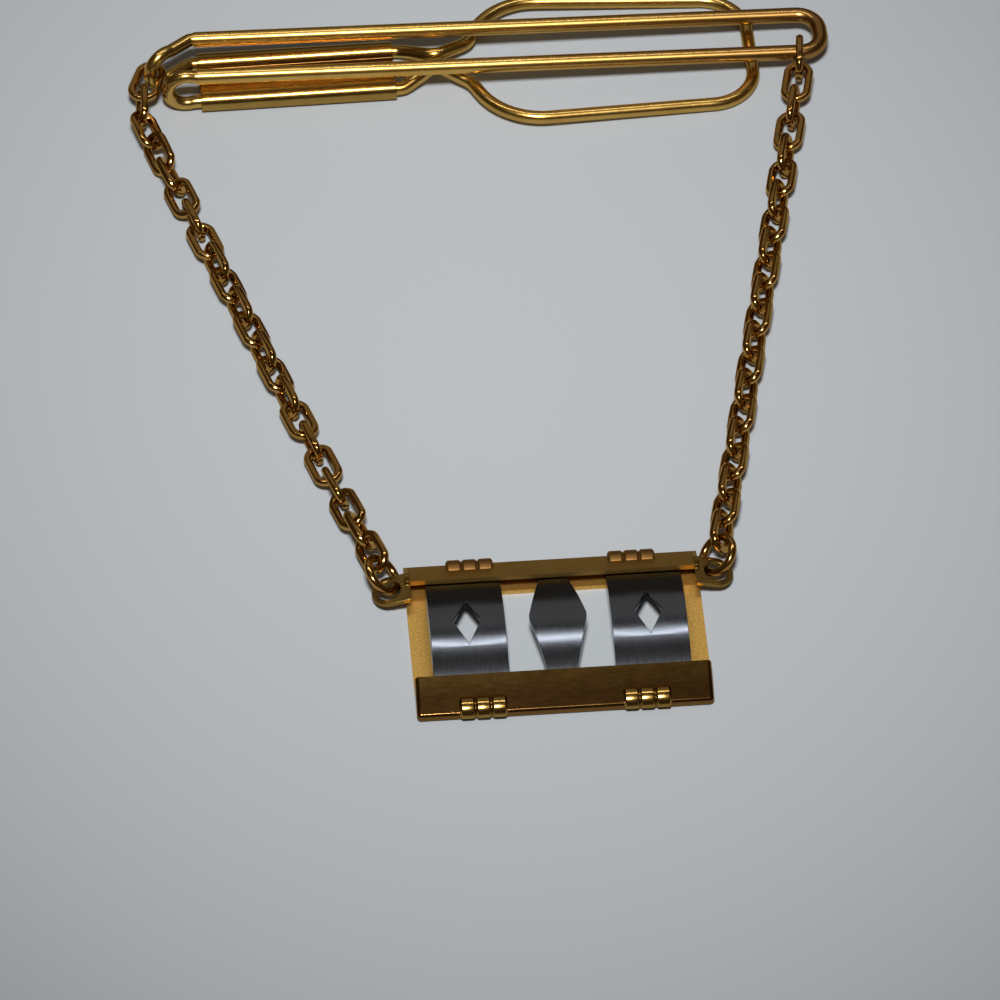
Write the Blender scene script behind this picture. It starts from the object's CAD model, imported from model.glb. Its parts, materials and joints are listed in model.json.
import json
import math
import bpy
import numpy as np
from mathutils import Matrix, Vector

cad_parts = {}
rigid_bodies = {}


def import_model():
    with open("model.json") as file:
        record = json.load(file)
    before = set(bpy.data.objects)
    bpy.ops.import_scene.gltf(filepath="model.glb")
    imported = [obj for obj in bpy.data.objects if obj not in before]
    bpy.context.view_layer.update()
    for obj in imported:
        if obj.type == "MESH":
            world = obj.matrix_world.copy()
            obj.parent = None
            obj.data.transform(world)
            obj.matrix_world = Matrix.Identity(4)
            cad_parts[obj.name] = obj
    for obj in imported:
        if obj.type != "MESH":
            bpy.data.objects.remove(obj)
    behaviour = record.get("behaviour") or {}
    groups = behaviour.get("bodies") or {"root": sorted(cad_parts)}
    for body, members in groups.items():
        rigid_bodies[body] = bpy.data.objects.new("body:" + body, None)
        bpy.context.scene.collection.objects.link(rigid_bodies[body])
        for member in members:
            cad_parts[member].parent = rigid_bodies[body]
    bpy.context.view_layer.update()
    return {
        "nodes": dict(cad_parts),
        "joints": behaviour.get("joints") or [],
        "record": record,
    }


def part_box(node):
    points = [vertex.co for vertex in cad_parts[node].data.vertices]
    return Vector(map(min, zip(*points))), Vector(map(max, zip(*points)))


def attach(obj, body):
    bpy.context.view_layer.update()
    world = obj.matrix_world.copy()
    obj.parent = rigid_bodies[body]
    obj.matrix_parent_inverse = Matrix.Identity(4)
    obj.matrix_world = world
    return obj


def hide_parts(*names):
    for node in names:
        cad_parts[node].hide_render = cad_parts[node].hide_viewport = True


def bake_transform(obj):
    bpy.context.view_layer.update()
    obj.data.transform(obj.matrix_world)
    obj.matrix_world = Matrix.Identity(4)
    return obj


mm = 0.001
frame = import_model()
nodes = frame["nodes"]
bodyOf = {node: body for body, names in frame["record"]["behaviour"]["bodies"].items() for node in names}
print("frame loaded:", len(nodes), "nodes")

# places that the finishes and the wires start from
sleeveStart = 0.3 * mm
clipPivot = Vector(next(joint for joint in frame["joints"] if joint["name"] == "clip_open")["pos_m"])
clipCorner = Vector((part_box("crimp_sleeve")[0].x - sleeveStart, clipPivot.y, 0))
plaqueLow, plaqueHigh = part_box("plaque_frame")

# small helpers

mergeReach = 0.002 * mm


def deselectAll():
    for obj in bpy.context.view_layer.objects:
        obj.select_set(False)


def makeActive(obj):
    deselectAll()
    obj.select_set(True)
    bpy.context.view_layer.objects.active = obj


def copyOfNode(name, pieceName):
    piece = nodes[name].copy()
    piece.data = nodes[name].data.copy()
    piece.name = pieceName
    piece.data.name = pieceName
    for key in list(piece.keys()):
        del piece[key]
    piece.parent = None
    bpy.context.scene.collection.objects.link(piece)
    makeActive(piece)
    bpy.ops.object.mode_set(mode="EDIT")
    bpy.ops.mesh.select_all(action="SELECT")
    bpy.ops.mesh.remove_doubles(threshold=mergeReach)
    bpy.ops.object.mode_set(mode="OBJECT")
    return piece


def applyModifiers(obj):
    makeActive(obj)
    for mod in list(obj.modifiers):
        bpy.ops.object.modifier_apply(modifier=mod.name)


def bevelEdges(obj, width, segments, degrees):
    bevel = obj.modifiers.new("bevel", "BEVEL")
    bevel.width = width
    bevel.segments = segments
    bevel.limit_method = "ANGLE"
    bevel.angle_limit = math.radians(degrees)
    applyModifiers(obj)


def smoothByAngle(obj, degrees):
    makeActive(obj)
    bpy.ops.object.shade_smooth_by_angle(angle=math.radians(degrees))


# a socket with arithmetic, so that node maths reads as a sum

class Sock:
    def __init__(self, finish, socket):
        self.finish = finish
        self.socket = socket

    def maths(self, operation, *values):
        return self.finish.node("ShaderNodeMath", {"operation": operation}, dict(enumerate(values)))

    def __add__(self, other):
        return self.maths("ADD", self, other)

    def __sub__(self, other):
        return self.maths("SUBTRACT", self, other)

    def __mul__(self, other):
        return self.maths("MULTIPLY", self, other)

    def __rsub__(self, other):
        return self.maths("SUBTRACT", other, self)

    def __abs__(self):
        return self.maths("ABSOLUTE", self)

    __radd__ = __add__
    __rmul__ = __mul__

    def clamp(self):
        return self.finish.node("ShaderNodeClamp", {}, {"Value": self})


class Finish:
    def __init__(self, name):
        self.material = bpy.data.materials.new(name)
        self.material.use_nodes = True
        self.tree = self.material.node_tree
        self.shader = self.tree.nodes["Principled BSDF"]

    def node(self, kind, settings, values, output=0):
        made = self.tree.nodes.new(kind)
        for key, value in settings.items():
            setattr(made, key, value)
        for key, value in values.items():
            self.put(made.inputs[key], value)
        return Sock(self, made.outputs[output])

    def put(self, target, value):
        if isinstance(value, Sock):
            self.tree.links.new(value.socket, target)
        elif target.type == "RGBA":
            target.default_value = (*value, 1)
        else:
            target.default_value = value

    def shade(self, **values):
        for key, value in values.items():
            self.put(self.shader.inputs[key.replace("_", " ")], value)

    def place(self, scale=(1, 1, 1)):
        coordinates = self.node("ShaderNodeTexCoord", {}, {}, "Object")
        return self.node("ShaderNodeMapping", {}, {"Vector": coordinates, "Scale": scale})

    def axis(self, where, name):
        return self.node("ShaderNodeSeparateXYZ", {}, {"Vector": where}, name)

    def noise(self, where, scale, detail, rough=0.55):
        return self.node("ShaderNodeTexNoise", {}, {
            "Vector": where, "Scale": scale, "Detail": detail, "Roughness": rough}, "Fac")

    def mix(self, factor, low, high):
        return self.node("ShaderNodeMix", {"data_type": "RGBA"}, {0: factor, 6: low, 7: high}, 2)

    def remap(self, value, span, low=0.0, high=1.0):
        return self.node("ShaderNodeMapRange", {}, {
            "Value": value, "From Min": span[0], "From Max": span[1], "To Min": low, "To Max": high})

    def rise(self, value, middle, soft):
        return self.remap(value, (middle - soft, middle + soft))

    def bump(self, height, strength, distance):
        return self.node("ShaderNodeBump", {}, {
            "Height": height, "Strength": strength, "Distance": distance})


def weigh(first, second, share):
    return first * share + second * (1 - share)


# gold plate on brass: worn bright in clouds, with brown tarnish in patches

goldTones = {
    "bright": (0.80, 0.52, 0.15),
    "deep": (0.66, 0.39, 0.09),
    "tarnish": (0.33, 0.165, 0.05),
}
goldEdge = (0.85, 0.7, 0.5)
goldWear = {
    "clouds": 160.0,
    "patches": 620.0,
    "softDetail": 4.0,
    "fineDetail": 3.0,
    "wornClouds": 0.6,
    "wornSpan": (0.35, 0.68),
    "tarnishPatches": 0.7,
    "tarnishSpan": (0.55, 0.75),
    "roughGrain": 0.7,
    "roughSpan": (0.3, 0.7),
    "bumpGrain": 0.6,
    "bumpDepth": 0.02 * mm,
}

# the frame's back is left as it was cast, its upper channel is dull and its lower one brown
lowerChannel = 3.14 * mm
dullFrom = 0.471
castBack = {
    "top": 0.62 * mm,
    "barEnd": plaqueLow.y + lowerChannel,
    "middle": plaqueLow.lerp(plaqueHigh, dullFrom).y,
    "soft": 0.04 * mm,
    "rough": 0.5,
    "grain": 4500.0,
    "grainDetail": 2.0,
    "grainSpan": (0.35, 0.65),
    "grainHeight": 4.0,
    "upperShare": 0.35,
    "lowerShare": 0.95,
    "lowerEdgeShare": 0.38,
    "lowerSpan": (1.4 * mm, 2.2 * mm),
}
dullBeads = {**castBack, "top": -1.0 * mm, "upperShare": 0.95, "lowerShare": 0.4, "lowerEdgeShare": 0.16}

# brown towards the rails' closed end, and between the tubes of the sleeve
railEnd = {
    "axis": "X",
    "middle": clipCorner.x,
    "span": (20.0 * mm, 54.0 * mm),
    "share": 0.9,
    "tone": goldTones["tarnish"],
}
sleeveWeb = {
    "axis": "Y",
    "middle": clipCorner.y,
    "span": (1.7 * mm, 1.4 * mm),
    "share": 0.9,
    "tone": (0.13, 0.06, 0.016),
}

goldKinds = {
    "goldPolished": {
        "rough": 0.27, "roughSpread": 0.02, "grain": 2600.0, "grainBump": 0.0, "streak": (0.06, 1, 1),
        "tarnishShare": 0.2, "tone": 0.85, "dark": railEnd},
    "goldWire": {
        "rough": 0.24, "roughSpread": 0.03, "grain": 2600.0, "grainBump": 0.05,
        "tarnishShare": 0.2, "tone": 0.75},
    "goldSleeve": {
        "rough": 0.22, "roughSpread": 0.04, "grain": 3000.0, "grainBump": 0.1,
        "tarnishShare": 0.5, "tone": 0.52, "dark": sleeveWeb},
    "goldSatin": {
        "rough": 0.3, "roughSpread": 0.06, "grain": 5200.0, "grainBump": 0.3,
        "tarnishShare": 0.5, "tone": 0.35},
    "goldChannel": {
        "rough": 0.1, "roughSpread": 0.01, "grain": 3600.0, "grainBump": 0.02, "streak": (0.3, 1, 1),
        "tarnishShare": 0.1, "tone": 0.52, "cast": castBack},
    "goldBead": {
        "rough": 0.18, "roughSpread": 0.03, "grain": 3600.0, "grainBump": 0.1,
        "tarnishShare": 0.3, "tone": 0.62, "cast": dullBeads},
    "goldChain": {
        "rough": 0.14, "roughSpread": 0.04, "grain": 3000.0, "grainBump": 0.12,
        "tarnishShare": 0.6, "tone": 0.6, "tint": (1.0, 0.88, 0.9)},
}


def darkBand(gold, where, body, dark):
    away = abs(gold.axis(where, dark["axis"]) - dark["middle"])
    return gold.mix(gold.remap(away, dark["span"], 0.0, dark["share"]), body, dark["tone"])


def castParts(gold, where, body, roughness, height, brown, cast):
    up, along = gold.axis(where, "Z"), gold.axis(where, "Y")
    upper = gold.rise(along, cast["middle"], cast["soft"])
    back = (1 - gold.rise(up, cast["top"], cast["soft"])) * gold.rise(along, cast["barEnd"], cast["soft"])
    dull = (back + upper).clamp()
    lower = gold.remap(up, cast["lowerSpan"], cast["lowerShare"], cast["lowerEdgeShare"])
    body = gold.mix(upper * cast["upperShare"] + (1 - upper) * lower, body, brown)
    grains = gold.noise(where, cast["grain"], cast["grainDetail"])
    sand = gold.mix(gold.remap(grains, cast["grainSpan"]), goldTones["deep"], goldTones["bright"])
    body = gold.mix(back, body, sand)
    roughness = roughness + dull * (cast["rough"] - roughness)
    height = height + dull * grains * cast["grainHeight"]
    return body, roughness, height


def goldFinish(name, rough, roughSpread, grain, grainBump, tarnishShare, tone,
               streak=(1, 1, 1), tint=(1, 1, 1), dark=None, cast=None):
    gold = Finish(name)
    where = gold.place()
    cloudy = gold.noise(where, goldWear["clouds"], goldWear["softDetail"])
    patches = gold.noise(where, goldWear["patches"], goldWear["softDetail"])
    fine = gold.noise(gold.place(streak), grain, goldWear["fineDetail"])
    tones = {key: tuple(tone * t * c for t, c in zip(tint, colour)) for key, colour in goldTones.items()}
    worn = gold.remap(weigh(cloudy, patches, goldWear["wornClouds"]), goldWear["wornSpan"])
    stain = weigh(patches, fine, goldWear["tarnishPatches"])
    tarnish = gold.remap(stain, goldWear["tarnishSpan"], 0.0, tarnishShare)
    body = gold.mix(tarnish, gold.mix(worn, tones["deep"], tones["bright"]), tones["tarnish"])
    wear = weigh(fine, patches, goldWear["roughGrain"])
    roughness = gold.remap(wear, goldWear["roughSpan"], rough - roughSpread, rough + roughSpread)
    height = weigh(fine, patches, goldWear["bumpGrain"])
    if dark:
        body = darkBand(gold, where, body, dark)
    if cast:
        body, roughness, height = castParts(gold, where, body, roughness, height, tones["tarnish"], cast)
    gold.shade(
        Base_Color=body,
        Metallic=1.0,
        Specular_Tint=goldEdge,
        Roughness=roughness,
        Normal=gold.bump(height, grainBump, goldWear["bumpDepth"]),
    )
    return gold.material


finishes = {name: goldFinish(name, **values) for name, values in goldKinds.items()}

# dark steel, finely streaked along its height

steelLook = {
    "streakShape": (1, 0.035, 0.2),
    "streaks": 7000.0,
    "streakDetail": 4.0,
    "streakRough": 0.65,
    "patches": 420.0,
    "patchDetail": 3.0,
    "toneStreaks": 0.6,
    "span": (0.3, 0.7),
    "dark": (0.13, 0.143, 0.165),
    "pale": (0.165, 0.178, 0.2),
    "smoothest": 0.16,
    "roughest": 0.19,
    "bumpStrength": 0.035,
    "bumpDepth": 0.015 * mm,
}


def steelFinish(name):
    steel = Finish(name)
    lined = steel.place(steelLook["streakShape"])
    streaks = steel.noise(lined, steelLook["streaks"], steelLook["streakDetail"], steelLook["streakRough"])
    patches = steel.noise(steel.place(), steelLook["patches"], steelLook["patchDetail"])
    tone = steel.remap(weigh(streaks, patches, steelLook["toneStreaks"]), steelLook["span"])
    steel.shade(
        Base_Color=steel.mix(tone, steelLook["dark"], steelLook["pale"]),
        Metallic=1.0,
        Roughness=steel.remap(streaks, steelLook["span"], steelLook["smoothest"], steelLook["roughest"]),
        Normal=steel.bump(streaks, steelLook["bumpStrength"], steelLook["bumpDepth"]),
    )
    return steel.material


finishes["steelDark"] = steelFinish("steelDark")


def dress(name, finish):
    for entry in nodes[name].material_slots:
        entry.material = finishes[finish]


for name in ("left_jump_ring", "right_jump_ring"):
    dress(name, "goldChain")
print("finishes on the nodes that stay as they are")


def standFor(piece, name, finish):
    piece.data.materials.clear()
    piece.data.materials.append(finishes[finish])
    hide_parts(name)


# sheet pieces: the same shapes with their edges broken, so that the edges catch the light

sheetPieces = {
    "plaque_frame": {"edge": 0.07 * mm, "finish": "goldChannel", "slot": "gold_polished"},
    "corner_beads": {"edge": 0.05 * mm, "finish": "goldBead", "slot": "gold_polished"},
    "left_lug": {"edge": 0.09 * mm, "finish": "goldSatin", "slot": "gold_satin"},
    "right_lug": {"edge": 0.09 * mm, "finish": "goldSatin", "slot": "gold_satin"},
    "left_tablet": {"edge": 0.05 * mm, "finish": "steelDark", "slot": "steel_dark"},
    "centre_tablet": {"edge": 0.05 * mm, "finish": "steelDark", "slot": "steel_dark"},
    "right_tablet": {"edge": 0.05 * mm, "finish": "steelDark", "slot": "steel_dark"},
    "crimp_sleeve": {"edge": 0.08 * mm, "finish": "goldSleeve", "slot": "gold_polished"},
}
sheetEdge = {"flatAngle": 0.4, "segments": 3, "sharpAngle": 28, "smoothAngle": 35}


def breakEdges(piece, width):
    makeActive(piece)
    bpy.ops.object.mode_set(mode="EDIT")
    bpy.ops.mesh.select_all(action="SELECT")
    bpy.ops.mesh.dissolve_limited(angle_limit=math.radians(sheetEdge["flatAngle"]))
    bpy.ops.object.mode_set(mode="OBJECT")
    bevelEdges(piece, width, sheetEdge["segments"], sheetEdge["sharpAngle"])
    smoothByAngle(piece, sheetEdge["smoothAngle"])
    weighted = piece.modifiers.new("weighted", "WEIGHTED_NORMAL")
    weighted.mode = "FACE_AREA"
    weighted.keep_sharp = True
    applyModifiers(piece)


for name, sheet in sheetPieces.items():
    piece = copyOfNode(name, name + "_edged")
    breakEdges(piece, sheet["edge"])
    standFor(piece, name, sheet["finish"])
    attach(piece, bodyOf[name])
print("sheet pieces done:", len(sheetPieces))

# clip wires: a ring of points carried along straight runs and spun round each bend
# the points, in mm from the clip's corner, are one half of the wire, and the other half is its mirror image

clipWires = {
    "front_bar": {
        "wire": 1.349 * mm,
        "points": [(0, 2.3, 3.905), (54.6, 2.3, 2.2)],
        "radii": [1.9],
        "socket": {"width": 1.21 * mm, "depth": 2.2 * mm},
        "finish": "goldPolished",
    },
    "grip_paddle": {
        "wire": 1.15 * mm,
        "points": [(9.2, -2.3, 0.905), (17.95, -2.3, 0.905), (20.9, -0.625, 1.80235), (23.9, -2.4, 1.2),
                   (26.2, -7.3, 1.2), (48.5, -6.2, 0.575)],
        "radii": [1.3, 1.3, 2.0, 6.0, 4.0],
        "socket": None,
        "finish": "goldWire",
    },
}
wireMesh = {"around": 28, "bendStep": 6.0, "support": 0.12 * mm, "smoothAngle": 40}


def carryRing(step):
    bpy.ops.mesh.extrude_region_move(TRANSFORM_OT_translate={"value": tuple(step)})


def carryStraight(start, end):
    run = end - start
    support = run.normalized() * wireMesh["support"]
    for step in (support, run - 2 * support, support):
        carryRing(step)


def spinBend(first, last, centre, turn):
    axis = (first - centre).cross(last - centre).normalized()
    steps = max(2, round(math.degrees(turn) / wireMesh["bendStep"]))
    bpy.ops.mesh.spin(steps=steps, angle=-turn, center=centre, axis=axis)


def closeEnd(centre, inward, wire):
    if wire["socket"]:
        carryRing((0, 0, 0))
        share = wire["socket"]["width"] / wire["wire"]
        bpy.ops.transform.resize(value=(share, share, share), center_override=centre)
        carryRing(inward * wire["socket"]["depth"])
    bpy.ops.mesh.edge_face_add()


def startRing(name, centre, ahead, radius):
    deselectAll()
    bpy.ops.mesh.primitive_circle_add(
        vertices=wireMesh["around"], radius=radius, location=centre,
        rotation=ahead.to_track_quat("Z", "Y").to_euler())
    piece = bpy.context.object
    piece.name = name
    piece.data.name = name
    bpy.ops.object.transform_apply(location=True, rotation=True, scale=True)
    return piece


def bendWire(name, wire):
    half = [Vector(point) * mm for point in wire["points"]]
    points = [p + clipCorner for p in half]
    points += [Vector((p.x, -p.y, p.z)) + clipCorner for p in reversed(half)]
    radii = [radius * mm for radius in wire["radii"] + wire["radii"][::-1]]
    ahead = (points[1] - points[0]).normalized()
    piece = startRing(name, points[0], ahead, wire["wire"] / 2)
    bpy.ops.object.mode_set(mode="EDIT")
    bpy.ops.mesh.select_mode(type="EDGE")
    bpy.ops.mesh.select_all(action="SELECT")
    start = points[0]
    for before, corner, after, radius in zip(points, points[1:], points[2:], radii):
        back = (before - corner).normalized()
        onward = (after - corner).normalized()
        halfTurn = (math.pi - back.angle(onward)) / 2
        reach = radius * math.tan(halfTurn)
        first, last = corner + back * reach, corner + onward * reach
        centre = corner + (back + onward).normalized() * (radius / math.cos(halfTurn))
        carryStraight(start, first)
        spinBend(first, last, centre, 2 * halfTurn)
        start = last
    carryStraight(start, points[-1])
    closeEnd(points[-1], (points[-2] - points[-1]).normalized(), wire)
    bpy.ops.mesh.select_all(action="DESELECT")
    bpy.ops.mesh.select_non_manifold()
    closeEnd(points[0], ahead, wire)
    bpy.ops.mesh.select_all(action="SELECT")
    bpy.ops.mesh.normals_make_consistent(inside=False)
    bpy.ops.object.mode_set(mode="OBJECT")
    smoothByAngle(piece, wireMesh["smoothAngle"])
    return piece


for name, wire in clipWires.items():
    piece = bendWire(name + "_bent", wire)
    standFor(piece, name, wire["finish"])
    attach(piece, bodyOf[name])
print("clip wires done:", len(clipWires))

# chain links: oval wire filed flat on its faces and its outer sides, one model for each width

linkShape = {
    "axisLength": 3.76 * mm,
    "wire": 0.72 * mm,
    "flat": 0.33 * mm,
    "sideFlat": 0.3 * mm,
    "edge": 0.03 * mm,
    "edgeSegments": 2,
    "edgeAngle": 24,
    "smoothAngle": 30,
    "around": 32,
    "section": 12,
    "middleReach": 0.001 * mm,
}


def selectPoints(obj, chosen):
    makeActive(obj)
    bpy.ops.object.mode_set(mode="EDIT")
    bpy.ops.mesh.select_mode(type="VERT")
    bpy.ops.mesh.select_all(action="DESELECT")
    bpy.ops.object.mode_set(mode="OBJECT")
    for vertex in obj.data.vertices:
        vertex.select = chosen(vertex.co)
    bpy.ops.object.mode_set(mode="EDIT")


def flatten(obj, axis, side, limit):
    selectPoints(obj, lambda co: side * co[axis] > limit)
    scale, centre = [1, 1, 1], [0, 0, 0]
    scale[axis], centre[axis] = 0, side * limit
    bpy.ops.transform.resize(value=scale, center_override=centre)
    bpy.ops.object.mode_set(mode="OBJECT")


def modelLink(name, axisWidth):
    radius = axisWidth / 2
    stretch = linkShape["axisLength"] / 2 - radius
    deselectAll()
    bpy.ops.mesh.primitive_torus_add(
        major_radius=radius, minor_radius=linkShape["wire"] / 2,
        major_segments=linkShape["around"], minor_segments=linkShape["section"])
    link = bpy.context.object
    link.name = name
    for side in (1, -1):
        selectPoints(link, lambda co: side * co.x > linkShape["middleReach"])
        bpy.ops.transform.translate(value=(side * stretch, 0, 0))
        bpy.ops.object.mode_set(mode="OBJECT")
    for side in (1, -1):
        flatten(link, 2, side, linkShape["flat"])
        flatten(link, 1, side, radius + linkShape["sideFlat"])
    bevelEdges(link, linkShape["edge"], linkShape["edgeSegments"], linkShape["edgeAngle"])
    smoothByAngle(link, linkShape["smoothAngle"])
    return link


# a link's length, width and thickness are the main directions of its points
def nodeAxes(name):
    points = np.array([v.co for v in nodes[name].data.vertices])
    spread = points - points.mean(0)
    vectors = np.linalg.eigh(spread.T @ spread)[1]
    along, across = vectors[:, 2], vectors[:, 1]
    turn = np.stack([along, across, np.cross(along, across)], axis=1)
    local = points @ turn
    centre = turn @ ((local.min(0) + local.max(0)) / 2)
    widths = local.max(0) - local.min(0)
    place = Matrix.Translation(Vector(centre)) @ Matrix(turn.tolist()).to_4x4()
    return place, widths[1] - linkShape["wire"]


linkModels = {}
linkNames = [name for name in nodes if "_link_" in name]
for name in linkNames:
    place, axisWidth = nodeAxes(name)
    key = round(axisWidth / mm, 1)
    if key not in linkModels:
        linkModels[key] = modelLink("link_model_%d" % len(linkModels), axisWidth)
    piece = linkModels[key].copy()
    piece.data = linkModels[key].data.copy()
    piece.name = name + "_filed"
    piece.data.name = piece.name
    bpy.context.scene.collection.objects.link(piece)
    piece.matrix_world = place
    makeActive(piece)
    bpy.ops.object.transform_apply(location=True, rotation=True, scale=True)
    standFor(piece, name, "goldChain")
    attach(piece, bodyOf[name])
for model in linkModels.values():
    bpy.data.objects.remove(model, do_unlink=True)
print("links done:", len(linkNames))

# spring bends: the wire flexes between the front bar and the sleeve

springWire = {"flexReach": 1.2 * mm, "smoothAngle": 40}
for name in ("near_spring", "far_spring"):
    piece = copyOfNode(name, name + "_wire")
    smoothByAngle(piece, springWire["smoothAngle"])
    standFor(piece, name, "goldWire")
    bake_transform(piece)
print("spring bends done")

# stage: a pale table that darkens away from the middle, a dim warm room

stage = {
    "tableSize": 2.0,
    "tableDrop": 0.02 * mm,
    "tableMiddle": (0.585, 0.64, 0.69),
    "tableFar": (0.195, 0.213, 0.23),
    "tableRough": 0.6,
    "brightShape": (1, 0.743, 1),
    "brightSpot": (-2.0 * mm, 13.4 * mm, 0.0),
    "brightReach": 90.0 * mm,
    "roomTone": (0.11, 0.085, 0.06),
    "roomStrength": 0.5,
}
deselectAll()
bpy.ops.mesh.primitive_plane_add(size=stage["tableSize"], location=(0, 0, -stage["tableDrop"]))
table = bpy.context.object
table.name = "table"
paper = Finish("tablePaper")
away = paper.node("ShaderNodeVectorMath", {"operation": "DISTANCE"},
                  {0: paper.place(stage["brightShape"]), 1: stage["brightSpot"]}, "Value")
fade = paper.remap(away, (0.0, stage["brightReach"]))
paper.shade(
    Base_Color=paper.mix(fade * fade, stage["tableMiddle"], stage["tableFar"]),
    Roughness=stage["tableRough"],
)
table.data.materials.append(paper.material)

world = bpy.data.worlds.new("room")
bpy.context.scene.world = world
world.use_nodes = True
room = world.node_tree.nodes["Background"]
room.inputs["Color"].default_value = (*stage["roomTone"], 1)
room.inputs["Strength"].default_value = stage["roomStrength"]

# a lamp above the camera, and two behind that only the metal mirrors

lights = {
    "flash": {
        "direction": (-0.06, -0.47, 0.88), "distance": 0.8, "size": (0.10, 0.10), "power": 5.7,
        "tone": (1.0, 0.98, 0.96), "onTable": True},
    "ceiling": {
        "direction": (0.0, 0.27, 0.963), "distance": 0.9, "size": (0.9, 0.07), "power": 1.7,
        "tone": (0.97, 0.98, 1.0), "onTable": False},
    "wall": {
        "direction": (0.0, 0.71, 0.71), "distance": 1.0, "size": (1.2, 0.5), "power": 0.4,
        "tone": (1.0, 0.97, 0.93), "onTable": False},
}


def addLight(name, light):
    data = bpy.data.lights.new(name, "AREA")
    data.shape = "RECTANGLE"
    data.size, data.size_y = light["size"]
    data.energy = light["power"]
    data.color = light["tone"]
    lamp = bpy.data.objects.new(name, data)
    bpy.context.scene.collection.objects.link(lamp)
    aim = Vector(light["direction"]).normalized()
    lamp.location = aim * light["distance"]
    lamp.rotation_euler = aim.to_track_quat("Z", "Y").to_euler()
    lamp.visible_diffuse = light["onTable"]


for name, light in lights.items():
    addLight(name, light)

# camera: the photograph's view, long lens, looking down from the front

view = {
    "lookAt": (-2.546 * mm, -16.794 * mm, 0),
    "elevation": 48.0,
    "turn": -5.127,
    "distance": 0.7,
    "lens": 302.4,
    "sensor": 36.0,
}
cameraData = bpy.data.cameras.new("camera")
cameraData.lens = view["lens"]
cameraData.sensor_width = view["sensor"]
camera = bpy.data.objects.new("camera", cameraData)
bpy.context.scene.collection.objects.link(camera)
level = math.cos(math.radians(view["elevation"]))
toCamera = Vector((
    math.sin(math.radians(view["turn"])) * level,
    -math.cos(math.radians(view["turn"])) * level,
    math.sin(math.radians(view["elevation"])),
))
camera.location = Vector(view["lookAt"]) + toCamera * view["distance"]
camera.rotation_euler = toCamera.to_track_quat("Z", "Y").to_euler()
bpy.context.scene.camera = camera
bpy.context.scene.view_settings.view_transform = "Standard"
print("stage, lights and camera done")
